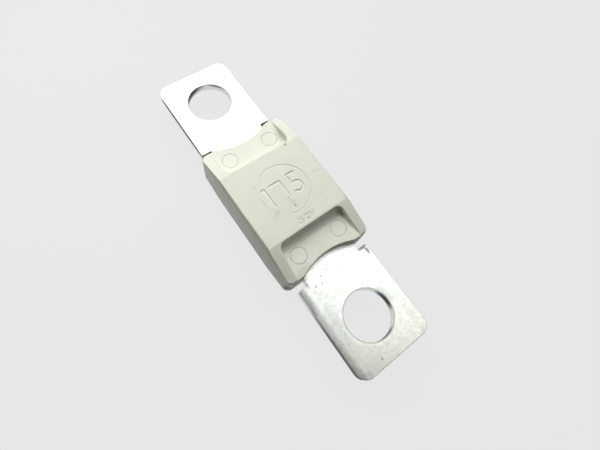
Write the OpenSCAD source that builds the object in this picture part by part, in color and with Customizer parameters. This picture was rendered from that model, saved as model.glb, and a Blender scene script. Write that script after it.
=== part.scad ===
// Bolt down strip fuse: a stamped, tin-plated strip held between two moulded
// housing halves. Four pegs on the lower half pass the strip and the upper
// half, and a thin waisted bridge with a tin pill lies in the hollow chamber.
//
// X runs along the strip, Y across it, Z up. The origin is in the middle of
// the flat underside. Each half is drawn with its parting face at z = 0 and
// its outer face upwards, and is then placed or turned over.

/* [Strip] */
// Distance between the centres of the two bolt holes
bolt_spacing = 51; // [46:0.5:60]
// Diameter of a bolt hole
bolt_hole_d = 8.8; // [6.4:0.1:10.4]
// Width of a terminal
terminal_w = 15.3; // [14:0.1:17]
// From the centre of a bolt hole to the end of its terminal
terminal_end = 7.85; // [7:0.05:9]
// Radius of a terminal's outer corners
terminal_corner_r = 2; // [0.5:0.1:4]
// Thickness of the strip
strip_t = 1.8; // [1.2:0.1:2.4]
// Width of the neck between a terminal and the housing
neck_w = 11.3; // [9:0.1:12]
// Gap between a terminal's shoulder and the foot of the housing's end wall
shoulder_gap = 1.25; // [0.5:0.05:2]
// Radius in and on the corners of the shoulders and pads
shoulder_r = 0.3; // [0.2:0.05:0.6]

/* [Bridge] */
// Width of the thin bridge where it leaves a pad
bridge_w = 5.6; // [5:0.1:8]
// Thickness of the bridge
bridge_t = 0.9; // [0.5:0.1:1.2]
// Width left at a waist of the bridge
waist_w = 2.6; // [1.6:0.1:3.6]
// Radius of the round notches that make a waist
waist_r = 1.5; // [1:0.1:1.6]
// Distance from the middle of the bridge to a waist
waist_x = 3.3; // [3.1:0.1:4]
// How far a pad reaches into the chamber
pad_overhang = 0.5; // [0.2:0.1:1]

/* [Pill] */
// Diameter of the pill's two heads
pill_d = 3; // [2:0.1:3.2]
// Diameter of its stem, and of the hole in the bridge
pill_stem_d = 1.4; // [0.8:0.1:1.8]
// Height of a head over the bridge
pill_head_h = 0.8; // [0.4:0.1:1.2]

/* [Housing] */
// Length of the housing at the sunk ends, corner to corner
housing_l = 28.6; // [28.4:0.2:31]
// Width of the housing on its raised face
housing_w = 17.3; // [16.9:0.1:20]
// Height from the strip to the raised face, the same above and below
cover_h = 4.5; // [4.1:0.1:6]
// Height from the strip to the sunk ends
floor_h = 2.25; // [1.6:0.05:2.8]
// Length of the raised face between the walls of the sunk ends
raised_l = 15.4; // [14.4:0.2:15.6]
// Length of the level part of the side ribs
rib_level_l = 15; // [12:0.2:15.2]
// Width between the ribs where a sunk end starts
recess_w = 13.4; // [12.4:0.1:13.6]
// Width between the ribs at the end of the housing
recess_end_w = 14.1; // [13.7:0.1:14.7]
// Run of a sunk end's steep back wall, from its top to its foot
recess_lean = 0.5; // [0.2:0.1:1]
// Radius at the foot of the back wall
recess_foot_r = 1.4; // [0.4:0.1:1.6]
// Radius in the back corners of a sunk end, seen from above
recess_corner_r = 1.3; // [0.4:0.1:1.6]
// Depth of the arch in each end, which leaves a washer on the bolt its room
arch_depth = 1.4; // [0.6:0.1:1.8]
// Radius of the housing's upright corners
corner_r = 1.7; // [0.3:0.1:1.8]
// Radius along the edges of the raised face
edge_r = 0.35; // [0.1:0.05:0.6]
// Radius where the ribs start to slope, and at their low ends
slope_r = 0.6; // [0.2:0.1:1.2]
// Run of the side walls' draft for each millimetre of height
side_draft = 0.04; // [0.01:0.01:0.08]
// Run of the end walls' draft for each millimetre of height
end_draft = 0.03; // [0.01:0.01:0.1]

/* [Pegs] */
// Diameter of a peg
peg_d = 2.8; // [2:0.1:3]
// Distance across the housing between a pair of pegs
peg_spacing_y = 8.76; // [8:0.02:9]
// Wall left between a peg hole and the arch
peg_wall = 1.2; // [1:0.05:1.5]
// Free gap round a peg in the upper half and in the strip
peg_clear = 0.1; // [0.05:0.01:0.2]
// Bevel round the staked end of a peg
peg_bevel = 0.15; // [0.05:0.05:0.3]

/* [Chamber] */
// Length of the hollow chamber
chamber_l = 13; // [12:0.2:13.6]
// Width of the hollow chamber
chamber_w = 12; // [9:0.2:13]
// Height of the chamber in each half, from the parting face
chamber_h = 2.8; // [2.4:0.1:3.6]
// Radius of the chamber's upright corners
chamber_r = 1; // [0.5:0.1:2]

/* [Clearances] */
// Free gap beside the strip in its pocket and in the end walls
strip_clear = 0.15; // [0.05:0.01:0.3]
// Metal left outside a peg hole in the strip, lengthwise and across
pad_land = 0.85; // [0.6:0.05:1]

/* [Hidden] */
$fn = 96;
// Overshoot that makes a cut pass clean through a face
over = 1;
// Depth by which a raised feature is rooted in what carries it
root = 0.4;

half_t = strip_t / 2;
half_h = cover_h + half_t;
floor_z = floor_h + half_t;
bolt_x = bolt_spacing / 2;
tip_x = bolt_x + terminal_end;
end_x = housing_l / 2;
end_base_x = end_x + end_draft * floor_z;
side_base_y = housing_w / 2 + side_draft * half_h;
shoulder_x = end_base_x + shoulder_gap;
peg_y = peg_spacing_y / 2;
peg_hole_r = peg_d / 2 + peg_clear;
washer_r = bolt_x - end_x + arch_depth;
peg_x = bolt_x - sqrt(pow(washer_r + peg_wall + peg_hole_r, 2) - pow(peg_y, 2));
pad_end_x = peg_x + peg_hole_r + pad_land;
pad_y = peg_y + peg_hole_r + pad_land;
pad_start_x = chamber_l / 2 - pad_overhang;

// Unit vector from a to b
function toward(a, b) = (b - a) / norm(b - a);
// Half of the corner angle at b on the way from a to c
function half_angle(a, b, c) = acos(toward(b, a) * toward(b, c)) / 2;
// Positive where the way from a over b to c turns left
function turn(a, b, c) = (b[0] - a[0]) * (c[1] - b[1]) - (b[1] - a[1]) * (c[0] - b[0]);
// The point on the way from b to a where a round of radius r begins
function tangent(a, b, c, r) = b + toward(b, a) * r / tan(half_angle(a, b, c));
// Centre of the round at b
function round_centre(a, b, c, r) =
    b + toward([0, 0], toward(b, a) + toward(b, c)) * r / sin(half_angle(a, b, c));

// An outline, given anticlockwise as [x, y, corner radius] for each corner,
// with true arcs at its corners.
module rounded_outline(corners) {
    n = len(corners);
    p = [for (c = corners) [c[0], c[1]]];
    r = [for (c = corners) c[2]];
    function before(i) = p[(i + n - 1) % n];
    function after(i) = p[(i + 1) % n];
    chords = [for (i = [0:n - 1]) each r[i] == 0 ? [p[i]] :
        [tangent(before(i), p[i], after(i), r[i]), tangent(after(i), p[i], before(i), r[i])]];
    difference() {
        union() {
            polygon(chords);
            for (i = [0:n - 1])
                if (r[i] > 0 && turn(before(i), p[i], after(i)) > 0)
                    translate(round_centre(before(i), p[i], after(i), r[i])) circle(r = r[i]);
        }
        for (i = [0:n - 1])
            if (r[i] > 0 && turn(before(i), p[i], after(i)) < 0)
                translate(round_centre(before(i), p[i], after(i), r[i])) circle(r = r[i]);
    }
}

module rounded_rectangle(length, width, r) {
    x = length / 2;
    y = width / 2;
    rounded_outline([[-x, -y, r], [x, -y, r], [x, y, r], [-x, y, r]]);
}

// Both ends of the fuse from the drawing of the +X one
module both_ends() {
    children();
    rotate([0, 0, 180]) children();
}

module at_pegs() {
    for (x = [-peg_x, peg_x], y = [-peg_y, peg_y]) translate([x, y, 0]) children();
}

// One pad, its neck and its terminal, grown by a gap all round
module strip_end_outline(gap = 0) {
    pad_half = pad_y + gap;
    neck_half = neck_w / 2 + gap;
    terminal_half = terminal_w / 2 + gap;
    start = pad_start_x - gap;
    pad_end = pad_end_x + gap;
    shoulder = shoulder_x - gap;
    tip = tip_x + gap;
    r = shoulder_r;
    rounded_outline([
        [start, -pad_half, r], [pad_end, -pad_half, r], [pad_end, -neck_half, r],
        [shoulder, -neck_half, r], [shoulder, -terminal_half, r],
        [tip, -terminal_half, terminal_corner_r], [tip, terminal_half, terminal_corner_r],
        [shoulder, terminal_half, r], [shoulder, neck_half, r],
        [pad_end, neck_half, r], [pad_end, pad_half, r], [start, pad_half, r]
    ]);
}

// The thin bridge, with a waist on each side of the pill
module bridge_outline() {
    length = 2 * (pad_start_x + root);
    difference() {
        square([length, bridge_w], center = true);
        for (x = [-waist_x, waist_x], side = [-1, 1])
            translate([x, side * (waist_w / 2 + waist_r)]) circle(r = waist_r);
        circle(d = pill_stem_d);
    }
}

// Outer form of a half: its outlines from the side, the end and above, each
// carried right through, leave the drafted block with sloping rib ends.
module half_block() {
    far = 2 * (end_base_x + over);
    intersection() {
        translate([0, far / 2, 0]) rotate([90, 0, 0]) linear_extrude(far)
            rounded_outline([
                [-end_base_x, 0, 0], [end_base_x, 0, 0], [end_x, floor_z, slope_r],
                [rib_level_l / 2, half_h, slope_r], [-rib_level_l / 2, half_h, slope_r],
                [-end_x, floor_z, slope_r]
            ]);
        translate([-far / 2, 0, 0]) rotate([90, 0, 90]) linear_extrude(far)
            rounded_outline([
                [-side_base_y, 0, 0], [side_base_y, 0, 0],
                [housing_w / 2, half_h, edge_r], [-housing_w / 2, half_h, edge_r]
            ]);
        translate([0, 0, -over]) linear_extrude(half_h + 2 * over)
            rounded_rectangle(2 * end_base_x, 2 * side_base_y, corner_r);
    }
}

// What is sunk out of the +X end between its ribs
module end_recess() {
    back = raised_l / 2;
    far_x = end_base_x + over;
    top = half_h + over;
    rise = half_h - floor_z;
    lean_over = over * recess_lean / rise;
    flare = (recess_end_w - recess_w) / 2 / (end_x - back);
    back_y = recess_w / 2;
    far_y = back_y + flare * (far_x - back);
    depth = 2 * far_y + 2 * over;
    intersection() {
        translate([0, depth / 2, 0]) rotate([90, 0, 0]) linear_extrude(depth)
            rounded_outline([
                [back + recess_lean, floor_z, recess_foot_r], [far_x, floor_z, 0],
                [far_x, top, 0], [back - lean_over, top, 0]
            ]);
        linear_extrude(top + over)
            rounded_outline([
                [back, -back_y, recess_corner_r], [far_x, -far_y, 0],
                [far_x, far_y, 0], [back, back_y, recess_corner_r]
            ]);
    }
}

// The arched room about the bolt at the +X end
module washer_room() {
    foot_r = washer_r - end_draft * (floor_z + over);
    top_r = washer_r + end_draft * (half_h + over - floor_z);
    translate([bolt_x, 0, -over]) cylinder(h = half_h + 2 * over, r1 = foot_r, r2 = top_r);
}

// A half without its pegs or peg holes
module half_shell() {
    difference() {
        half_block();
        both_ends() {
            end_recess();
            washer_room();
            translate([0, 0, -over]) linear_extrude(over + half_t) strip_end_outline(strip_clear);
        }
        translate([0, 0, -over]) linear_extrude(over + chamber_h)
            rounded_rectangle(chamber_l, chamber_w, chamber_r);
    }
}

module peg() {
    reach = half_t + root;
    translate([0, 0, -reach]) cylinder(h = reach + floor_z - peg_bevel, d = peg_d);
    translate([0, 0, floor_z - peg_bevel])
        cylinder(h = peg_bevel, d1 = peg_d, d2 = peg_d - 2 * peg_bevel);
}

module housing_upper() {
    color([0.88, 0.87, 0.8]) translate([0, 0, half_h]) difference() {
        half_shell();
        at_pegs() translate([0, 0, -over]) cylinder(h = half_h + 2 * over, r = peg_hole_r);
    }
}

module housing_lower() {
    color([0.86, 0.85, 0.78]) translate([0, 0, half_h]) {
        mirror([0, 0, 1]) half_shell();
        at_pegs() peg();
    }
}

module fuse_strip() {
    color([0.78, 0.79, 0.78]) translate([0, 0, half_h]) {
        difference() {
            both_ends() translate([0, 0, -half_t]) linear_extrude(strip_t) strip_end_outline();
            both_ends() translate([bolt_x, 0, -half_t - over])
                cylinder(h = strip_t + 2 * over, d = bolt_hole_d);
            at_pegs() translate([0, 0, -half_t - over])
                cylinder(h = strip_t + 2 * over, r = peg_hole_r);
        }
        translate([0, 0, -bridge_t / 2]) linear_extrude(bridge_t) bridge_outline();
    }
}

module tin_pill() {
    color([0.62, 0.63, 0.65]) translate([0, 0, half_h]) rotate_extrude()
        rounded_outline([
            [0, -bridge_t / 2 - pill_head_h, 0], [pill_d / 2, -bridge_t / 2 - pill_head_h, pill_head_h / 2],
            [pill_d / 2, -bridge_t / 2, 0], [pill_stem_d / 2, -bridge_t / 2, 0],
            [pill_stem_d / 2, bridge_t / 2, 0], [pill_d / 2, bridge_t / 2, 0],
            [pill_d / 2, bridge_t / 2 + pill_head_h, pill_head_h / 2], [0, bridge_t / 2 + pill_head_h, 0]
        ]);
}

housing_lower();
fuse_strip();
tin_pill();
housing_upper();
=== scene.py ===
# %% [markdown]
# A bolt-down strip fuse, seen from above and a little to one side. Two moulded halves of
# cream plastic close round a stamped, tin-plated strip, whose ends lie bare with a bolt hole
# in each. The measured solids come in first and fix every place and size. The cells after
# that dress them: softened edges, sunk numbers, moulded grain, mottled tin, dirt and scuffs,
# and painted shade.

# %% Load the measured model
import math

import bmesh
import bpy
from mathutils import Matrix, Vector


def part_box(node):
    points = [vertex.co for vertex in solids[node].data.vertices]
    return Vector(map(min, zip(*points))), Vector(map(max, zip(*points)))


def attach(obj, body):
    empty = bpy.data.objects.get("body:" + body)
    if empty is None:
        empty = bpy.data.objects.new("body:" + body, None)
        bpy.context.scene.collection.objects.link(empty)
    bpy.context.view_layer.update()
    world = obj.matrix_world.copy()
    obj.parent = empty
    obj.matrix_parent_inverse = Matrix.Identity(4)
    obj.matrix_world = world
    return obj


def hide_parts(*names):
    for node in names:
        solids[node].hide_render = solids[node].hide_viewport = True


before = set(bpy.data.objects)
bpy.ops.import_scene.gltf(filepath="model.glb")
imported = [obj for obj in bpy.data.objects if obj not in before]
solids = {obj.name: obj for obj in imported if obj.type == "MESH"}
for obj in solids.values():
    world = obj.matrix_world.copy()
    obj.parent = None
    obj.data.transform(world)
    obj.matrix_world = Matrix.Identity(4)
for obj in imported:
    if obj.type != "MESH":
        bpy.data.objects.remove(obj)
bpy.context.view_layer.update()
MM = 0.001

for name in sorted(solids):
    low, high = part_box(name)
    size = [round((high[i] - low[i]) / MM, 2) for i in range(3)]
    print(name, "measures", size, "mm")

# %% [markdown]
# The camera stands nearly 8 cm up, over the near half of the fuse and 2 cm to its left, and
# looks down steeply, which makes the near terminal clearly wider than the far one. A camera
# can be aimed by an angle or at a target. Here two of its axes are given as they were fitted
# to the hole rims, the corners and the arches of the part, because all of those have to land
# in place at once. The third axis follows from them.

# %% Camera
CAMERA_PLACE = Vector((19.85, -21.87, 76.64)) * MM
CAMERA_RIGHT = Vector((0.584315, 0.803823, 0.111551))
CAMERA_UP = Vector((-0.762915, 0.497239, 0.413176))
IMAGE_WIDTH = 600
IMAGE_HEIGHT = 450
FOCAL_PIXELS = 407.5
AXIS_PIXEL = (292.0, 182.2)

lens = bpy.data.cameras.new("close_lens")
lens.sensor_width = 36.0
lens.lens = FOCAL_PIXELS / IMAGE_WIDTH * lens.sensor_width
lens.shift_x = (IMAGE_WIDTH / 2 - AXIS_PIXEL[0]) / IMAGE_WIDTH
lens.shift_y = (AXIS_PIXEL[1] - IMAGE_HEIGHT / 2) / IMAGE_WIDTH
lens.clip_start = 0.005
lens.clip_end = 10.0

camera = bpy.data.objects.new("camera", lens)
back = CAMERA_RIGHT.cross(CAMERA_UP)
turn = Matrix((CAMERA_RIGHT, CAMERA_UP, back)).transposed()
camera.matrix_world = Matrix.Translation(CAMERA_PLACE) @ turn.to_4x4()
bpy.context.scene.collection.objects.link(camera)
bpy.context.scene.camera = camera
print("lens", round(lens.lens, 2), "mm, shift", round(lens.shift_x, 4), round(lens.shift_y, 4))

# %% [markdown]
# A shader is a small network. Written out link by link it is long and hard to read, so a few
# helpers come first. They add a node with its values, join two sockets, start a material, and
# tell what the camera or a mirror sees from what only gives light.

# %% Helpers for shader networks
def add_node(tree, kind, values=None, **settings):
    """Adds one shader node, sets its properties and fills its input sockets by name or place."""
    node = tree.nodes.new(kind)
    for key, value in settings.items():
        setattr(node, key, value)
    for key, value in (values or {}).items():
        node.inputs[key].default_value = value
    return node


def join(tree, source, target):
    """Joins an output socket to an input socket."""
    tree.links.new(source, target)


def new_material(name):
    """An empty material with its output node, ready for a network."""
    material = bpy.data.materials.new(name)
    material.use_nodes = True
    material.node_tree.nodes.clear()
    output = add_node(material.node_tree, "ShaderNodeOutputMaterial")
    return material, material.node_tree, output


def seen_directly(tree):
    """A light path node, and a value of 1 for what the camera or a mirror sees."""
    path = add_node(tree, "ShaderNodeLightPath")
    glossy_or_camera = add_node(tree, "ShaderNodeMath", operation="MAXIMUM")
    seen = add_node(tree, "ShaderNodeMath", operation="MAXIMUM")
    join(tree, path.outputs["Is Camera Ray"], glossy_or_camera.inputs[0])
    join(tree, path.outputs["Is Glossy Ray"], glossy_or_camera.inputs[1])
    join(tree, glossy_or_camera.outputs[0], seen.inputs[0])
    join(tree, path.outputs["Is Transmission Ray"], seen.inputs[1])
    return path, seen.outputs[0]


# %% [markdown]
# The fuse lies on a plain pale sheet that fills the picture. The floor is one large plane. To
# the camera, and to what glints in metal, it shows an even pale grey. For all other light it
# is matt paper, and a part of that is mixed in so that the soft shadow under the raised strip
# stays. It lies a hair below the fuse, so that the two flat faces don't share one plane.

# %% Floor
BACKDROP_LEVEL = 0.89
BACKDROP = (BACKDROP_LEVEL,) * 3 + (1,)
SHADOW_SHARE = 0.14
PAPER = (0.33, 0.33, 0.33, 1)
FLOOR_HALF = 1.5
FLOOR_DROP = 0.02

floor_mesh = bmesh.new()
bmesh.ops.create_grid(floor_mesh, x_segments=1, y_segments=1, size=FLOOR_HALF)
floor_data = bpy.data.meshes.new("floor")
floor_mesh.to_mesh(floor_data)
floor_mesh.free()
floor = bpy.data.objects.new("floor", floor_data)
floor.location.z = -FLOOR_DROP * MM
bpy.context.scene.collection.objects.link(floor)

paper, tree, output = new_material("pale_paper")
matt = add_node(tree, "ShaderNodeBsdfDiffuse", {"Color": PAPER})
glow = add_node(tree, "ShaderNodeEmission", {"Color": BACKDROP})
path, seen = seen_directly(tree)
share = add_node(tree, "ShaderNodeMath", {1: 1 - SHADOW_SHARE}, operation="MULTIPLY")
mixed = add_node(tree, "ShaderNodeMixShader")
join(tree, seen, share.inputs[0])
join(tree, share.outputs[0], mixed.inputs["Fac"])
join(tree, matt.outputs[0], mixed.inputs[1])
join(tree, glow.outputs[0], mixed.inputs[2])
join(tree, mixed.outputs[0], output.inputs["Surface"])
floor_data.materials.append(paper)
print("floor", 2 * FLOOR_HALF, "m wide, backdrop level", BACKDROP_LEVEL)

# %% [markdown]
# Three soft lamps light the fuse from above, with left and right as in the picture. A small
# one close by on the left gives the side wall its slow fade. A larger one past the far end
# makes the far terminal glare. The largest, on the right, lights the sunk ends and the slopes
# that face it.
#
# Bright metal shows what stands round it, so the room matters as much as the lamps. To matt
# plastic the room is nearly dark. To the camera and to metal it is as pale as the sheet, and
# metal sees it dim towards the side away from the window. That gradient is what turns the
# near terminal grey towards its tip.

# %% Lights
ROOM_LIGHT = 0.04
ROOM_TONE = (0.86, 0.89, 0.9, 1)
WINDOW_SIDE = (-0.72, 0.6, 0.35)
BRIGHT_FROM = 0.8
DARK_SIDE = 0.2


def soft_lamp(name, azimuth, elevation, distance, size, power):
    """A square area lamp that faces the fuse: two angles in degrees, then metres and watts."""
    data = bpy.data.lights.new(name, "AREA")
    data.shape = "SQUARE"
    data.size = size
    data.energy = power
    lamp = bpy.data.objects.new(name, data)
    bpy.context.scene.collection.objects.link(lamp)
    level = math.cos(math.radians(elevation))
    outward = Vector((level * math.cos(math.radians(azimuth)),
                      level * math.sin(math.radians(azimuth)),
                      math.sin(math.radians(elevation))))
    lamp.location = outward * distance
    lamp.rotation_euler = outward.to_track_quat("Z", "Y").to_euler()


soft_lamp("left_softbox", 203, 45, 0.1, 0.078, 0.0565)
soft_lamp("far_softbox", 150, 54, 0.2, 0.16, 0.19)
soft_lamp("right_softbox", 92, 55, 0.3, 0.24, 0.312)

world = bpy.data.worlds.new("studio_room")
world.use_nodes = True
bpy.context.scene.world = world
tree = world.node_tree
tree.nodes.clear()
output = add_node(tree, "ShaderNodeOutputWorld")
dim = add_node(tree, "ShaderNodeBackground", {"Color": ROOM_TONE, "Strength": ROOM_LIGHT})
shown = add_node(tree, "ShaderNodeBackground", {"Color": BACKDROP})
direction = add_node(tree, "ShaderNodeTexCoord")
toward_window = add_node(tree, "ShaderNodeVectorMath", {1: WINDOW_SIDE}, operation="DOT_PRODUCT")
fall_off = add_node(tree, "ShaderNodeMapRange", {"From Min": 0.0, "From Max": BRIGHT_FROM,
                                                 "To Min": DARK_SIDE, "To Max": 1.0})
path, seen = seen_directly(tree)
level = add_node(tree, "ShaderNodeMix", data_type="FLOAT")
level.inputs[3].default_value = 1.0
mixed = add_node(tree, "ShaderNodeMixShader")
join(tree, direction.outputs["Generated"], toward_window.inputs[0])
join(tree, toward_window.outputs["Value"], fall_off.inputs["Value"])
join(tree, path.outputs["Is Camera Ray"], level.inputs[0])
join(tree, fall_off.outputs["Result"], level.inputs[2])
join(tree, level.outputs[0], shown.inputs["Strength"])
join(tree, seen, mixed.inputs["Fac"])
join(tree, dim.outputs[0], mixed.inputs[1])
join(tree, shown.outputs[0], mixed.inputs[2])
join(tree, mixed.outputs[0], output.inputs["Surface"])
bpy.context.scene.view_settings.view_transform = "Standard"

# %% [markdown]
# Two helpers serve the shared effects. One starts a group with named sockets. The other gives
# the place on the part in millimetres, measured from the middle of its underside. Every
# finish reads that place, so a speck or a grain is given in the same numbers as the part.

# %% Helpers for shared effects
def group_with(name, inputs, outputs):
    """A shader group with named sockets. Inputs are (name, kind, default)."""
    group = bpy.data.node_groups.new(name, "ShaderNodeTree")
    for label, kind, default in inputs:
        socket = group.interface.new_socket(label, in_out="INPUT", socket_type=kind)
        if default is not None:
            socket.default_value = default
    for label, kind in outputs:
        group.interface.new_socket(label, in_out="OUTPUT", socket_type=kind)
    start = add_node(group, "NodeGroupInput")
    end = add_node(group, "NodeGroupOutput")
    return group, start, end


FLOAT = "NodeSocketFloat"
VECTOR = "NodeSocketVector"


def place_in_mm(tree):
    """The place on the part in millimetres, as an output socket."""
    where = add_node(tree, "ShaderNodeTexCoord")
    scale = add_node(tree, "ShaderNodeMapping", {"Scale": (1 / MM,) * 3})
    join(tree, where.outputs["Object"], scale.inputs["Vector"])
    return scale.outputs["Vector"]


# %% [markdown]
# A speck of dirt, a smudge, a scuff and a patch of painted shade are the same thing in
# different shapes: a small mark with a ragged edge at one place. The shared group measures the
# distance from the mark's centre, stretched by its length and width, and disturbs that distance
# with a fine noise.

# %% Shared effect: one mark
mark_group, start, end = group_with(
    "Mark",
    [("Place", VECTOR, None), ("Centre", VECTOR, (0, 0, 0)), ("Radii", VECTOR, (1, 1, 1)),
     ("Turn", FLOAT, 0.0), ("Ragged", FLOAT, 0.5), ("Grain", FLOAT, 3.0)],
    [("Mask", FLOAT)])
shift = add_node(mark_group, "ShaderNodeVectorMath", operation="SUBTRACT")
rotate = add_node(mark_group, "ShaderNodeVectorRotate", rotation_type="Z_AXIS")
stretch = add_node(mark_group, "ShaderNodeVectorMath", operation="DIVIDE")
reach = add_node(mark_group, "ShaderNodeVectorMath", operation="LENGTH")
rough = add_node(mark_group, "ShaderNodeTexNoise", {"Detail": 3.0, "Roughness": 0.6})
centred = add_node(mark_group, "ShaderNodeMath", {1: 0.5}, operation="SUBTRACT")
amount = add_node(mark_group, "ShaderNodeMath", operation="MULTIPLY")
total = add_node(mark_group, "ShaderNodeMath", operation="ADD")
fade = add_node(mark_group, "ShaderNodeMapRange",
                {"From Min": 1.15, "From Max": 0.35}, interpolation_type="SMOOTHSTEP")
join(mark_group, start.outputs["Place"], shift.inputs[0])
join(mark_group, start.outputs["Centre"], shift.inputs[1])
join(mark_group, shift.outputs[0], rotate.inputs["Vector"])
join(mark_group, start.outputs["Turn"], rotate.inputs["Angle"])
join(mark_group, rotate.outputs[0], stretch.inputs[0])
join(mark_group, start.outputs["Radii"], stretch.inputs[1])
join(mark_group, stretch.outputs[0], reach.inputs[0])
join(mark_group, start.outputs["Place"], rough.inputs["Vector"])
join(mark_group, start.outputs["Grain"], rough.inputs["Scale"])
join(mark_group, rough.outputs[0], centred.inputs[0])
join(mark_group, centred.outputs[0], amount.inputs[0])
join(mark_group, start.outputs["Ragged"], amount.inputs[1])
join(mark_group, amount.outputs[0], total.inputs[0])
join(mark_group, reach.outputs["Value"], total.inputs[1])
join(mark_group, total.outputs[0], fade.inputs["Value"])
join(mark_group, fade.outputs["Result"], end.inputs["Mask"])
print("mark group has", len(mark_group.nodes), "nodes")


def marks(tree, place, wanted):
    """Adds up several marks, each (centre, radii, turn, ragged, grain, strength)."""
    total = None
    for centre, radii, turned, ragged, grain, strength in wanted:
        mark = add_node(tree, "ShaderNodeGroup", node_tree=mark_group)
        mark.inputs["Centre"].default_value = centre
        mark.inputs["Radii"].default_value = radii
        mark.inputs["Turn"].default_value = turned
        mark.inputs["Ragged"].default_value = ragged
        mark.inputs["Grain"].default_value = grain
        join(tree, place, mark.inputs["Place"])
        scaled = add_node(tree, "ShaderNodeMath", {1: strength}, operation="MULTIPLY")
        join(tree, mark.outputs["Mask"], scaled.inputs[0])
        if total is None:
            total = scaled.outputs[0]
        else:
            both = add_node(tree, "ShaderNodeMath", operation="MAXIMUM")
            join(tree, total, both.inputs[0])
            join(tree, scaled.outputs[0], both.inputs[1])
            total = both.outputs[0]
    return total


# %% [markdown]
# Moulded plastic is never one flat tone. Its skin has a fine grain from the mould and faint
# cloudy patches from the flow of the melt, and a tin coat has a grain and patches of its own.
# This group gives the grain's height and a slow cloudy value. Each finish sets their scale
# and decides how strongly it uses them.

# %% Shared effect: grain and clouds
grain_group, start, end = group_with(
    "Grain and clouds",
    [("Place", VECTOR, None), ("Grain scale", FLOAT, 5.0), ("Cloud scale", FLOAT, 0.25)],
    [("Height", FLOAT), ("Clouds", FLOAT)])
fine = add_node(grain_group, "ShaderNodeTexNoise", {"Detail": 4.0, "Roughness": 0.65})
slow = add_node(grain_group, "ShaderNodeTexNoise", {"Detail": 5.0, "Roughness": 0.55})
join(grain_group, start.outputs["Place"], fine.inputs["Vector"])
join(grain_group, start.outputs["Grain scale"], fine.inputs["Scale"])
join(grain_group, start.outputs["Place"], slow.inputs["Vector"])
join(grain_group, start.outputs["Cloud scale"], slow.inputs["Scale"])
join(grain_group, fine.outputs[0], end.inputs["Height"])
join(grain_group, slow.outputs[0], end.inputs["Clouds"])
print("grain group has", len(grain_group.nodes), "nodes")

# %% [markdown]
# Small helpers for the last step of most finishes: turn a value into a range, mix a colour
# towards another by a mask, and do one sum with two values.

# %% Helpers for tones
def in_range(tree, value, low, high, out_low, out_high):
    """Maps a value from one range to another, held at both ends."""
    node = add_node(tree, "ShaderNodeMapRange",
                    {"From Min": low, "From Max": high, "To Min": out_low, "To Max": out_high})
    join(tree, value, node.inputs["Value"])
    return node.outputs["Result"]


def mix_color(tree, mask, under, over):
    """Mixes two colours, each a colour tuple or an output socket, by a mask socket."""
    node = add_node(tree, "ShaderNodeMix", data_type="RGBA")
    join(tree, mask, node.inputs["Factor"])
    for socket, colour in ((node.inputs[6], under), (node.inputs[7], over)):
        if isinstance(colour, tuple):
            socket.default_value = colour
        else:
            join(tree, colour, socket)
    return node.outputs[2]


def combine(tree, operation, first, second):
    """One math node between two values, each a number or an output socket."""
    node = add_node(tree, "ShaderNodeMath", operation=operation)
    for socket, value in zip(node.inputs, (first, second)):
        if isinstance(value, (int, float)):
            socket.default_value = value
        else:
            join(tree, value, socket)
    return node.outputs[0]


# %% [markdown]
# The housing is a cream thermoplastic, matt and opaque. The raised face comes from a
# spark-eroded part of the mould and is a little rougher than all that lies below it. The
# lower half is a separate moulding; below the parting line its cream is painted greyer, as
# painted shade. Dark specks and smudges lie where the photograph shows them, and painted shade
# darkens the far right rib's inner face, the near left rib, the near recess floor by the arch
# and the near end of the left side wall.

# %% Finish of the housing
CREAM = (0.728, 0.736, 0.632, 1)
CREAM_DEEP = (0.654, 0.666, 0.556, 1)
# Painted shade: the lower half, below the parting line, is painted greyer
CREAM_LOWER_SHADED = (0.69, 0.708, 0.625, 1)
DIRT_AND_SHADE = (0.16, 0.155, 0.11, 1)
TOP_Z = 10.8
PARTING_Z = 5.4
SMOOTH_FROM_Z, SMOOTH_BELOW_Z = 9.0, 8.6
SMOOTHER_BY = 0.2
MOULD_GRAIN_DEPTH = 0.04
HOUSING_DIRT_AND_SHADE = [
    ((-7.25, 5.4, TOP_Z), (0.38, 0.28, 1), 0.3, 0.9, 4.0, 0.6),
    ((-2.45, 8.4, TOP_Z), (0.2, 0.16, 1), 0.0, 0.8, 5.0, 0.6),
    ((-0.4, 8.4, TOP_Z), (0.16, 0.16, 1), 0.0, 0.8, 5.0, 0.45),
    ((1.7, -0.3, TOP_Z), (0.18, 0.12, 1), 0.2, 0.8, 5.0, 0.7),
    ((3.6, -0.15, TOP_Z), (0.28, 0.17, 1), 0.2, 1.0, 5.0, 0.75),
    ((2.7, -0.1, TOP_Z), (1.7, 0.45, 1), -0.1, 1.2, 1.2, 0.16),
    ((3.2, -3.7, TOP_Z), (1.3, 0.5, 1), 0.9, 1.4, 1.2, 0.12),
    ((-3.1, -4.4, TOP_Z), (0.2, 0.2, 1), 0.0, 0.8, 4.0, 0.3),
    ((4.4, 4.9, TOP_Z), (0.2, 0.2, 1), 0.0, 0.8, 4.0, 0.3),
    ((7.4, 8.3, TOP_Z - 0.2), (0.8, 0.3, 1), 0.1, 1.2, 1.5, 0.22),
    ((0.25, 7.1, TOP_Z), (0.3, 1.1, 1), 0.2, 1.0, 3.0, 0.12),
    # Painted shade: the far right rib's inner face, the near left rib, the near recess floor by
    # the arch and the near end of the left side wall
    ((-10.4, 6.7, 9.4), (3.3, 0.75, 1.3), -0.08, 0.4, 1.0, 0.22),
    ((11.5, -7.9, 9.5), (5.5, 1.3, 3.0), 0.0, 0.8, 0.5, 0.12),
    ((14.0, -5.3, 8.55), (1.6, 2.3, 1.0), 0.0, 0.6, 0.6, 0.22),
    ((10.0, -8.75, 5.4), (10.0, 0.8, 7.0), 0.0, 0.8, 0.4, 0.13),
]

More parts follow.
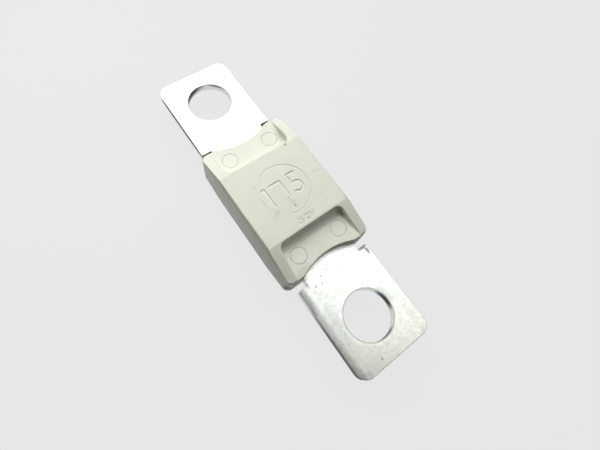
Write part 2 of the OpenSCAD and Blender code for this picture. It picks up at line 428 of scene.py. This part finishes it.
cream, tree, output = new_material("cream_plastic")
place = place_in_mm(tree)
skin = add_node(tree, "ShaderNodeGroup", node_tree=grain_group)
skin.inputs["Grain scale"].default_value = 4.5
skin.inputs["Cloud scale"].default_value = 0.22
join(tree, place, skin.inputs["Place"])
cloudy = in_range(tree, skin.outputs["Clouds"], 0.35, 0.68, 0.0, 0.55)
toned = mix_color(tree, cloudy, CREAM, CREAM_DEEP)
height = add_node(tree, "ShaderNodeSeparateXYZ")
join(tree, place, height.inputs[0])
# Below the parting line the cream turns greyer: painted shade
shaded_below_parting = in_range(tree, height.outputs["Z"], PARTING_Z + 0.1, PARTING_Z - 0.1, 0.0, 1.0)
toned = mix_color(tree, shaded_below_parting, toned, CREAM_LOWER_SHADED)
# Specks and smudges, and painted shade on the ribs, the recess floor and the side wall
dirt_and_shade = marks(tree, place, HOUSING_DIRT_AND_SHADE)
smoother = in_range(tree, height.outputs["Z"], SMOOTH_FROM_Z, SMOOTH_BELOW_Z, 0.0, SMOOTHER_BY)
plastic = add_node(tree, "ShaderNodeBsdfPrincipled", {"IOR": 1.46})
grainy = in_range(tree, skin.outputs["Height"], 0.3, 0.7, 0.58, 0.7)
roughness = combine(tree, "SUBTRACT", grainy, smoother)
relief = add_node(tree, "ShaderNodeBump", {"Strength": 0.55, "Distance": MOULD_GRAIN_DEPTH * MM})
join(tree, skin.outputs["Height"], relief.inputs["Height"])
join(tree, mix_color(tree, dirt_and_shade, toned, DIRT_AND_SHADE), plastic.inputs["Base Color"])
join(tree, roughness, plastic.inputs["Roughness"])
join(tree, relief.outputs[0], plastic.inputs["Normal"])
join(tree, plastic.outputs[0], output.inputs["Surface"])
print("cream plastic has", len(tree.nodes), "nodes")

# %% [markdown]
# The strip is zinc or copper alloy with a satin tin coat. Tin is soft: it mottles, picks up
# grey-green stains and fine scuffs. It reflects like a dull mirror, so a high metallic value
# with a middling, patchy roughness gives it, and the pale room does the rest. The faces that
# the punch has cut are bare and bright, but in places they are painted dark as painted shade,
# and there they no longer act as metal. Painted shade also darkens the dented right shoulder,
# the left notch, the long edges, the tip corners and the tin round the near hole. Towards the
# near tip the tin turns a little warmer.

# %% Finish of the tin-plated strip
TIN = (0.648, 0.672, 0.652, 1)
TIN_STAIN = (0.46, 0.49, 0.41, 1)
TIN_WARM = (0.565, 0.57, 0.49, 1)
CUT_FACE = (0.78, 0.8, 0.79, 1)
CUT_SHADE = (0.01, 0.014, 0.017, 1)
SOOT_AND_SHADE = (0.12, 0.13, 0.13, 1)
STRIP_TOP_Z = 6.3
HOLE_X = 25.5
WARM_FROM_X, WARM_TO_X = 22.0, 33.0
TIN_GRAIN_DEPTH = 0.05
RIM_DEPTH = 0.02
RIM_ROLL_FROM, RIM_ROLL_TO = 4.4, 5.2
RIM_LINE_FROM, RIM_LINE_TO = 4.68, 4.48
TIN_SOOT_AND_SHADE = [
    ((15.2, -1.3, STRIP_TOP_Z), (0.2, 0.2, 1), 0.0, 0.8, 5.0, 0.7),
    ((15.9, 1.2, STRIP_TOP_Z), (0.16, 0.28, 1), 0.0, 0.8, 5.0, 0.6),
    ((15.6, -2.8, STRIP_TOP_Z), (0.24, 0.2, 1), 0.0, 0.8, 5.0, 0.6),
    ((16.6, -4.6, STRIP_TOP_Z), (0.26, 0.22, 1), 0.0, 0.8, 5.0, 0.6),
    ((17.4, -5.4, STRIP_TOP_Z), (0.35, 0.16, 1), 0.2, 0.8, 5.0, 0.4),
    ((16.75, -3.4, STRIP_TOP_Z), (0.24, 0.2, 1), 0.0, 0.8, 5.0, 0.5),
    ((32.0, -2.65, STRIP_TOP_Z), (0.24, 0.2, 1), 0.2, 0.8, 5.0, 0.75),
    # Painted shade: the dented right shoulder and the left notch
    ((15.8, 6.7, STRIP_TOP_Z), (0.55, 1.4, 1), 0.0, 0.6, 3.0, 1.0),
    ((16.7, 7.1, STRIP_TOP_Z), (1.2, 0.5, 1), 0.0, 0.9, 3.0, 0.9),
    ((15.85, -5.75, STRIP_TOP_Z), (0.5, 0.4, 1), 0.0, 0.9, 3.0, 0.35),
    ((21.0, 2.75, STRIP_TOP_Z), (1.9, 0.13, 1), -0.3, 1.3, 3.0, 0.3),
    # Painted shade along the left edge, at the left notch, along the right edge, round the near
    # hole and at the tip corners
    ((17.6, -7.6, STRIP_TOP_Z), (4.0, 1.35, 1), 0.0, 0.6, 1.2, 0.4),
    ((14.5, -5.3, STRIP_TOP_Z), (0.5, 0.5, 1), 0.0, 0.6, 3.0, 0.35),
    ((27.5, 7.3, STRIP_TOP_Z), (7.5, 1.9, 1), 0.0, 0.5, 1.0, 0.15),
    ((24.6, 4.9, STRIP_TOP_Z), (2.8, 0.9, 1), -0.2, 0.6, 1.5, 0.25),
    ((24.0, -5.4, STRIP_TOP_Z), (4.2, 1.5, 1), 0.0, 0.8, 1.0, 0.12),
    ((32.8, -6.8, STRIP_TOP_Z), (1.3, 1.6, 1), 0.0, 0.8, 1.0, 0.2),
    ((32.9, 6.9, STRIP_TOP_Z), (1.5, 1.5, 1), 0.0, 0.8, 1.0, 0.2),
]
CUT_FACE_SHADE_MARKS = [
    # Painted shade on the cut faces: the long left sides, the walls of both bolt holes and the
    # gaps at the far shoulders
    ((28.4, -7.65, 5.4), (9.6, 0.8, 3.0), 0.0, 0.4, 0.5, 1.0),
    ((25.2, 4.2, 5.7), (2.3, 1.2, 1.7), -0.18, 0.2, 0.8, 1.0),
    ((29.8, 0.3, 5.9), (1.0, 2.7, 1.1), 0.0, 0.2, 0.8, 1.0),
    ((-24.0, -7.65, 5.4), (10.5, 0.8, 3.0), 0.0, 0.5, 0.5, 0.9),
    ((-29.0, -2.4, 6.3), (2.6, 4.0, 1.9), 0.0, 0.2, 0.8, 1.0),
    ((-28.3, 3.2, 6.3), (2.2, 2.5, 0.9), 0.0, 0.2, 0.8, 0.6),
    ((-15.6, -6.7, 6.0), (0.6, 2.0, 1.3), 0.0, 0.2, 0.8, 0.8),
    ((-15.6, 6.7, 6.0), (0.6, 2.0, 1.3), 0.0, 0.2, 0.8, 0.8),
]

tin, tree, output = new_material("satin_tin")
place = place_in_mm(tree)
coat = add_node(tree, "ShaderNodeGroup", node_tree=grain_group)
coat.inputs["Grain scale"].default_value = 2.6
coat.inputs["Cloud scale"].default_value = 1.1
join(tree, place, coat.inputs["Place"])
stain = in_range(tree, coat.outputs["Clouds"], 0.4, 0.68, 0.0, 0.6)
spot = add_node(tree, "ShaderNodeSeparateXYZ")
join(tree, place, spot.inputs[0])
warmth = in_range(tree, spot.outputs["X"], WARM_FROM_X, WARM_TO_X, 0.0, 0.7)
toned = mix_color(tree, stain, mix_color(tree, warmth, TIN, TIN_WARM), TIN_STAIN)
# Dark specks, and painted shade at the shoulders, edges, tip corners and near hole
sooty_and_shaded = mix_color(tree, marks(tree, place, TIN_SOOT_AND_SHADE), toned, SOOT_AND_SHADE)

# The cut faces: wherever the skin stands upright, bright, or dark with painted shade
skin_normal = add_node(tree, "ShaderNodeNewGeometry")
facing = add_node(tree, "ShaderNodeSeparateXYZ")
join(tree, skin_normal.outputs["True Normal"], facing.inputs[0])
upright = in_range(tree, combine(tree, "ABSOLUTE", facing.outputs["Z"], 0.0), 0.7, 0.3, 0.0, 1.0)
painted_dark_cut = combine(tree, "MULTIPLY", upright, marks(tree, place, CUT_FACE_SHADE_MARKS))
finish = mix_color(tree, painted_dark_cut, mix_color(tree, upright, sooty_and_shaded, CUT_FACE), CUT_SHADE)

# The rolled-in rims: a height that falls off towards the bolt holes, and a thin line of painted
# shade
across = combine(tree, "ABSOLUTE", spot.outputs["Y"], 0.0)
along = combine(tree, "SUBTRACT", combine(tree, "ABSOLUTE", spot.outputs["X"], 0.0), HOLE_X)
from_hole = add_node(tree, "ShaderNodeCombineXYZ")
join(tree, along, from_hole.inputs["X"])
join(tree, across, from_hole.inputs["Y"])
hole_distance = add_node(tree, "ShaderNodeVectorMath", operation="LENGTH")
join(tree, from_hole.outputs[0], hole_distance.inputs[0])
from_centre = hole_distance.outputs["Value"]
outward = in_range(tree, from_centre, RIM_ROLL_FROM, RIM_ROLL_TO, 0.0, 1.0)
rim_roll = combine(tree, "MULTIPLY", outward, combine(tree, "SUBTRACT", 2.0, outward))
rim_shade = in_range(tree, from_centre, RIM_LINE_FROM, RIM_LINE_TO, 0.0, 0.65)
rim_shade_line = combine(tree, "MULTIPLY", rim_shade, combine(tree, "SUBTRACT", 1.0, upright))

metal = add_node(tree, "ShaderNodeBsdfPrincipled", {"Specular IOR Level": 0.1})
join(tree, combine(tree, "SUBTRACT", 1.0, painted_dark_cut), metal.inputs["Metallic"])
satin = in_range(tree, coat.outputs["Height"], 0.3, 0.7, 0.28, 0.4)
roll_bump = add_node(tree, "ShaderNodeBump", {"Strength": 1.0, "Distance": RIM_DEPTH * MM})
relief = add_node(tree, "ShaderNodeBump", {"Strength": 0.3, "Distance": TIN_GRAIN_DEPTH * MM})
join(tree, rim_roll, roll_bump.inputs["Height"])
join(tree, roll_bump.outputs[0], relief.inputs["Normal"])
join(tree, coat.outputs["Height"], relief.inputs["Height"])
join(tree, mix_color(tree, rim_shade_line, finish, SOOT_AND_SHADE), metal.inputs["Base Color"])
join(tree, satin, metal.inputs["Roughness"])
join(tree, relief.outputs[0], metal.inputs["Normal"])
join(tree, metal.outputs[0], output.inputs["Surface"])
print("satin tin has", len(tree.nodes), "nodes")

# %% [markdown]
# A measured solid has knife-sharp edges and is stored as loose triangles. Real mouldings and
# stampings have a small radius everywhere, and it is this radius that catches the light. A
# copy is merged, its flat parts are made whole faces again, and its sharp edges are then
# bevelled. A whole face may not have a hole in it, so each copy is first cut along the middle
# and along the two rows of pegs. The measured solid isn't touched: the copy stands in for it.

# %% Helper: a workable copy of a measured solid
PEG_Y = 4.38
MERGE_WITHIN = 0.02
ON_PLANE = 0.0005
FLAT_WITHIN = math.radians(0.3)
SMALLEST = 0.001
SHARP_FROM = math.radians(38)


def cut_along(shape, place, direction):
    """Cuts every face along a plane through a place in millimetres, and keeps both sides."""
    everything = shape.verts[:] + shape.edges[:] + shape.faces[:]
    return bmesh.ops.bisect_plane(shape, geom=everything, dist=ON_PLANE * MM,
                                  plane_co=Vector(place) * MM, plane_no=direction)


def workable_copy(node):
    """A merged bmesh copy of a measured solid, its flat areas made whole between the cuts."""
    shape = bmesh.new()
    shape.from_mesh(solids[node].data)
    bmesh.ops.remove_doubles(shape, verts=shape.verts, dist=MERGE_WITHIN * MM)
    for across in (-PEG_Y, 0.0, PEG_Y):
        cut = cut_along(shape, (0, across, 0), (0, 1, 0))
        for item in cut["geom_cut"]:
            if isinstance(item, bmesh.types.BMEdge):
                item.seam = True
    bmesh.ops.dissolve_limit(shape, angle_limit=FLAT_WITHIN,
                             verts=shape.verts, edges=shape.edges, delimit={"SEAM"})
    return shape


def sharp_edges(shape, wanted, sharper_than=40):
    """The edges that turn by more than an angle and whose middle point is wanted."""
    found = []
    for edge in shape.edges:
        if not edge.is_manifold:
            continue
        if math.degrees(edge.calc_face_angle(0)) < sharper_than:
            continue
        middle = (edge.verts[0].co + edge.verts[1].co) / 2 / MM
        if wanted(middle):
            found.append(edge)
    return found


def soften(shape, edges, radius, segments):
    """Rounds edges with a bevel of a radius in millimetres."""
    bmesh.ops.bevel(shape, geom=edges, offset=radius * MM, offset_type="OFFSET",
                    segments=segments, profile=0.5, affect="EDGES",
                    clamp_overlap=False, material=-1)


def drop_slivers(shape):
    """Takes out the hair-thin faces that cutting and rounding leave behind."""
    bmesh.ops.dissolve_degenerate(shape, dist=SMALLEST * MM, edges=shape.edges)


def finished_piece(shape, name, material, node):
    """Makes an object of a bmesh, smooth across its curves, that stands for a solid."""
    data = bpy.data.meshes.new(name)
    shape.to_mesh(data)
    shape.free()
    data.materials.append(material)
    for face in data.polygons:
        face.use_smooth = True
    data.set_sharp_from_angle(angle=SHARP_FROM)
    piece = bpy.data.objects.new(name, data)
    bpy.context.scene.collection.objects.link(piece)
    weigh = piece.modifiers.new("even_shading", "WEIGHTED_NORMAL")
    weigh.keep_sharp = True
    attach(piece, "root")
    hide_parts(node)
    print(name, "has", len(data.polygons), "faces")
    return piece


# %% [markdown]
# The lower half: the same block turned over, with four pegs that pass through the strip and
# show in the sunk ends of the upper half. Staking has left a low rounded head on each, with a
# fine dark gap round it. The outer edges get a small mould radius. At the parting line the
# rim is drawn in a little instead, which leaves the fine groove where the halves meet.

# %% Lower housing half
EDGE_RADIUS = 0.12
SEAM_DEPTH = 0.05
CHAMBER_HALF_X, CHAMBER_HALF_Y = 6.6, 6.1
POCKET_HALF_Y, POCKET_HALF_Z = 7.3, 0.95
BESIDE_PARTING = 0.1
RIM_BEYOND_X, RIM_BEYOND_Y = 14.35, 7.4
PARTING_HALF_X, PARTING_HALF_Y = 14.49, 8.87
PEG_X = 10.84
PEG_REACH = 1.46
PEG_HOLE_REACH = 1.6
PEG_TOP_Z = 8.55
PEG_END = 0.2
PEG_HEAD_FOOT = (1.455, 8.5)
PEG_HEAD_TOP = (1.26, 8.59)


def on_skin(middle):
    """True on the outer faces, away from the chamber, the pocket and the parting line."""
    in_chamber = abs(middle.x) < CHAMBER_HALF_X and abs(middle.y) < CHAMBER_HALF_Y
    from_parting = abs(middle.z - PARTING_Z)
    in_pocket = abs(middle.y) < POCKET_HALF_Y and from_parting < POCKET_HALF_Z
    return not in_chamber and not in_pocket and from_parting > BESIDE_PARTING


def draw_in_seam(shape, side):
    """Draws the outer rim of the parting face in, which leaves a fine V between the halves."""
    cut_along(shape, (0, 0, PARTING_Z + side * SEAM_DEPTH), (0, 0, 1))
    rim = []
    for vert in shape.verts:
        outer = abs(vert.co.y) > RIM_BEYOND_Y * MM or abs(vert.co.x) > RIM_BEYOND_X * MM
        if outer and abs(vert.co.z - PARTING_Z * MM) < SMALLEST * MM:
            rim.append(vert)
    drawn = Vector((1 - SEAM_DEPTH / PARTING_HALF_X, 1 - SEAM_DEPTH / PARTING_HALF_Y, 1))
    bmesh.ops.scale(shape, vec=drawn, verts=rim)


def along_skin(middle):
    """True for the outer edges, apart from the pegs' ends and the rims of their holes."""
    from_peg = math.hypot(abs(middle.x) - PEG_X, abs(middle.y) - PEG_Y)
    return on_skin(middle) and from_peg > PEG_HOLE_REACH


def swell_pegs(shape):
    """Gives the pegs' ends the low rounded head that staking leaves on them."""
    for vert in shape.verts:
        spot = vert.co / MM
        across = Vector((abs(spot.x) - PEG_X, abs(spot.y) - PEG_Y))
        if across.length > PEG_REACH or spot.z < PEG_TOP_Z - PEG_END:
            continue
        at_top = spot.z > PEG_TOP_Z - PEG_END / 4
        radius, height = PEG_HEAD_TOP if at_top else PEG_HEAD_FOOT
        on_rim = across.normalized() * radius
        vert.co = Vector((math.copysign(PEG_X + on_rim.x, spot.x),
                          math.copysign(PEG_Y + on_rim.y, spot.y), height)) * MM


shape = workable_copy("housing_lower")
swell_pegs(shape)
draw_in_seam(shape, -1)
soften(shape, sharp_edges(shape, along_skin), EDGE_RADIUS, 2)
drop_slivers(shape)
lower_half = finished_piece(shape, "lower_half", cream, "housing_lower")

# %% [markdown]
# The raised face carries sunk marks: the rated current inside a ring, and the rated voltage
# below it. The mould's insert had them standing proud, so on the part they are shallow
# round-bottomed grooves. Text could be cut in as flat letters, but the real strokes are of one
# width, like those of an engraving cutter. So each stroke is a tube along a few points, sunk
# until only a little of it is below the face, and then subtracted.

# %% Helper: a tube that cuts a groove
# A round end: how far past the last point, and how thick there, as shares of the radius
ROUND_END = ((0.45, 0.9), (0.8, 0.6), (0.97, 0.25))
WELD_WITHIN = 0.0005


def groove_reach(width, depth):
    """Radius of a round cutter, and its centre's height over the face, for one groove."""
    radius = (width * width / 4 + depth * depth) / (2 * depth)
    return radius, radius - depth


def groove_cutter(name, points, width, depth, curved=False):
    """A closed tube through (x, y) points in millimetres on the raised face, with round ends."""
    radius, lift = groove_reach(width, depth)
    curve = bpy.data.curves.new(name, "CURVE")
    curve.dimensions = "3D"
    curve.bevel_depth = radius * MM
    curve.bevel_resolution = 5
    curve.resolution_u = 6
    curve.use_fill_caps = True
    path = list(points)
    if curved:
        path = smooth_path(path)
    first = Vector(path[0]) - Vector(path[1])
    last = Vector(path[-1]) - Vector(path[-2])
    before = [(Vector(path[0]) + first.normalized() * radius * along, thin)
              for along, thin in reversed(ROUND_END)]
    after = [(Vector(path[-1]) + last.normalized() * radius * along, thin)
             for along, thin in ROUND_END]
    whole = before + [(Vector(point), 1.0) for point in path] + after
    line = curve.splines.new("POLY")
    line.points.add(len(whole) - 1)
    for spot, (place, thickness) in zip(line.points, whole):
        spot.co = (place.x * MM, place.y * MM, (TOP_Z + lift) * MM, 1)
        spot.radius = thickness
    return mesh_cutter(name, curve)


def smooth_path(points, steps=5):
    """More points on a smooth curve through the given ones."""
    padded = [points[0]] + list(points) + [points[-1]]
    result = []
    for i in range(1, len(padded) - 2):
        before, here, there, after = (Vector(point) for point in padded[i - 1:i + 3])
        for step in range(steps):
            t = step / steps
            straight = (there - before) * t
            bent = (2 * before - 5 * here + 4 * there - after) * t * t
            twisted = (3 * here - before - 3 * there + after) * t * t * t
            result.append(0.5 * (2 * here + straight + bent + twisted))
    return result + [Vector(points[-1])]


def mesh_cutter(name, curve):
    """Turns a curve into a mesh object that can be subtracted."""
    source = bpy.data.objects.new(name, curve)
    bpy.context.scene.collection.objects.link(source)
    bpy.context.view_layer.update()
    solid = bpy.data.meshes.new_from_object(source)
    bpy.data.objects.remove(source)
    shape = bmesh.new()
    shape.from_mesh(solid)
    bmesh.ops.remove_doubles(shape, verts=shape.verts, dist=WELD_WITHIN * MM)
    bmesh.ops.recalc_face_normals(shape, faces=shape.faces)
    shape.to_mesh(solid)
    shape.free()
    cutter = bpy.data.objects.new(name, solid)
    bpy.context.scene.collection.objects.link(cutter)
    return cutter


def carve(shape, cutters):
    """Subtracts cutter objects from a bmesh one after another, and removes them."""
    data = bpy.data.meshes.new("blank")
    shape.to_mesh(data)
    shape.free()
    blank = bpy.data.objects.new("blank", data)
    bpy.context.scene.collection.objects.link(blank)
    for cutter in cutters:
        cut = blank.modifiers.new(cutter.name, "BOOLEAN")
        cut.operation = "DIFFERENCE"
        cut.solver = "EXACT"
        cut.object = cutter
    bpy.context.view_layer.update()
    result = blank.evaluated_get(bpy.context.evaluated_depsgraph_get()).to_mesh()
    carved = bmesh.new()
    carved.from_mesh(result)
    bpy.data.objects.remove(blank)
    for cutter in cutters:
        bpy.data.objects.remove(cutter)
    return carved


# %% [markdown]
# The strokes are given in millimetres, x towards the near terminal and y to the right. A
# figure stands with its top towards the far terminal. The ring is the rim of the mould's
# round insert. The insert sat a little askew, so its rim is deeper on the far right side and
# all but runs out on the near left side.

# %% Strokes of the marks
RATING_WIDTH, RATING_DEPTH = 0.56, 0.18
RATING_STROKES = [
    ("one_flag", [(-1.75, -3.65), (-1.75, -3.32)], False),
    ("one_stem", [(-1.78, -3.24), (1.95, -3.2)], False),
    ("seven_bar", [(-1.76, -2.0), (-1.76, -0.1)], False),
    ("seven_stem", [(-1.72, 0.03), (1.85, 0.14)], False),
    ("five_bar", [(-2.0, 1.85), (-2.0, 3.2)], False),
    ("five_stem", [(-1.6, 1.78), (-0.3, 1.78)], False),
    ("five_bowl", [(-0.1, 1.8), (-0.22, 2.3), (-0.14, 2.85), (0.2, 3.22), (0.8, 3.36),
                   (1.35, 3.2), (1.7, 2.75), (1.78, 2.2), (1.5, 1.6)], True),
]
VOLTAGE_WIDTH, VOLTAGE_DEPTH = 0.26, 0.12
VOLTAGE_LINES = [
    ("three", [(6.0, -1.55), (5.85, -1.2), (5.87, -0.8), (6.1, -0.62), (6.3, -0.8),
               (6.36, -1.1)]),
    ("three_foot", [(6.36, -0.95), (6.48, -0.6), (6.75, -0.6), (6.9, -0.95), (6.85, -1.3),
                    (6.7, -1.5)]),
    ("two", [(6.05, -0.15), (5.87, 0.1), (5.88, 0.42), (6.08, 0.58), (6.3, 0.46),
             (6.82, -0.12)]),
    ("two_foot", [(6.85, -0.08), (6.85, 0.62)]),
    ("volt", [(5.85, 0.95), (6.85, 1.38), (5.85, 1.85)]),
]
RING_RADIUS, RING_WIDTH, RING_DEPTH = 4.8, 0.3, 0.08
RING_SKEW = math.radians(0.7)
RING_SKEW_AXIS = Vector((-0.985, -0.174, 0))


def ring_cutter():
    """A ring of round wire, slightly askew, whose lowest part cuts the face."""
    radius, lift = groove_reach(RING_WIDTH, RING_DEPTH)
    wire = bmesh.new()
    bmesh.ops.create_circle(wire, segments=16, radius=radius * MM)
    bmesh.ops.rotate(wire, verts=wire.verts, cent=(0, 0, 0),
                     matrix=Matrix.Rotation(math.radians(90), 3, "X"))
    bmesh.ops.translate(wire, verts=wire.verts, vec=(RING_RADIUS * MM, 0, 0))
    bmesh.ops.spin(wire, geom=wire.edges[:], cent=(0, 0, 0), axis=(0, 0, 1),
                   angle=math.radians(360), steps=128, use_merge=True)
    bmesh.ops.recalc_face_normals(wire, faces=wire.faces)
    bmesh.ops.rotate(wire, verts=wire.verts, cent=(0, 0, 0),
                     matrix=Matrix.Rotation(RING_SKEW, 3, RING_SKEW_AXIS))
    bmesh.ops.translate(wire, verts=wire.verts, vec=(0, 0, (TOP_Z + lift) * MM))
    data = bpy.data.meshes.new("ring")
    wire.to_mesh(data)
    wire.free()
    cutter = bpy.data.objects.new("ring", data)
    bpy.context.scene.collection.objects.link(cutter)
    return cutter


# %% [markdown]
# The upper half gets the same mould radius and the other side of the groove at the parting
# line. The marks are cut last, so that no bevel touches their edges.

# %% Upper housing half
shape = workable_copy("housing_upper")
draw_in_seam(shape, 1)
soften(shape, sharp_edges(shape, along_skin), EDGE_RADIUS, 2)
cutters = [groove_cutter(name, points, RATING_WIDTH, RATING_DEPTH, curved)
           for name, points, curved in RATING_STROKES]
for name, points in VOLTAGE_LINES:
    for start, end in zip(points, points[1:]):
        cutters.append(groove_cutter(name, [start, end], VOLTAGE_WIDTH, VOLTAGE_DEPTH))
cutters.append(ring_cutter())
shape = carve(shape, cutters)
drop_slivers(shape)
upper_half = finished_piece(shape, "upper_half", cream, "housing_upper")

# %% [markdown]
# The strip is punched from sheet. The punch draws the upper face down along the long sides
# before it cuts through, so that face sinks slowly over the last millimetre or so and ends in
# a small radius, while the lower outline is nearly sharp. The sinking part is cut into narrow
# strips, and each is set a little lower than the one before, by the square of its distance.

# %% Strip
ROLL_RADIUS = 0.1
ROLL_FROM_Y, ROLL_TO_Y = 6.35, 7.65
ROLL_STEPS = 6
ROLL_DROP = 0.08
LEVEL_WITHIN = 0.01
BOLT_HOLE_REACH = 4.6


def roll_in_sides(shape):
    """Lets the top face sink towards the two long cut sides, in a few narrow strips."""
    span = ROLL_TO_Y - ROLL_FROM_Y
    for side in (-1, 1):
        for step in range(ROLL_STEPS):
            across = side * (ROLL_FROM_Y + span * step / ROLL_STEPS)
            cut_along(shape, (0, across, 0), (0, 1, 0))
    for vert in shape.verts:
        past = (abs(vert.co.y) / MM - ROLL_FROM_Y) / span
        if past > 0 and vert.co.z > (STRIP_TOP_Z - LEVEL_WITHIN) * MM:
            vert.co.z -= ROLL_DROP * past * past * MM


def on_top(middle):
    """True along the upper outline of the terminals, but not round the holes."""
    on_top_face = middle.z > STRIP_TOP_Z - ROLL_DROP - LEVEL_WITHIN
    return on_top_face and not in_bolt_hole(middle)


def in_bolt_hole(middle):
    """True at the rims of the two bolt holes."""
    return math.hypot(abs(middle.x) - HOLE_X, middle.y) < BOLT_HOLE_REACH


shape = workable_copy("fuse_strip")
roll_in_sides(shape)
soften(shape, sharp_edges(shape, on_top), ROLL_RADIUS, 4)
metal_strip = finished_piece(shape, "metal_strip", tin, "fuse_strip")

# %% [markdown]
# The pill of tin lies hidden in the chamber, so the measured solid stays as it is and only
# takes the tin finish.

# %% Pill
solids["tin_pill"].data.materials[0] = tin
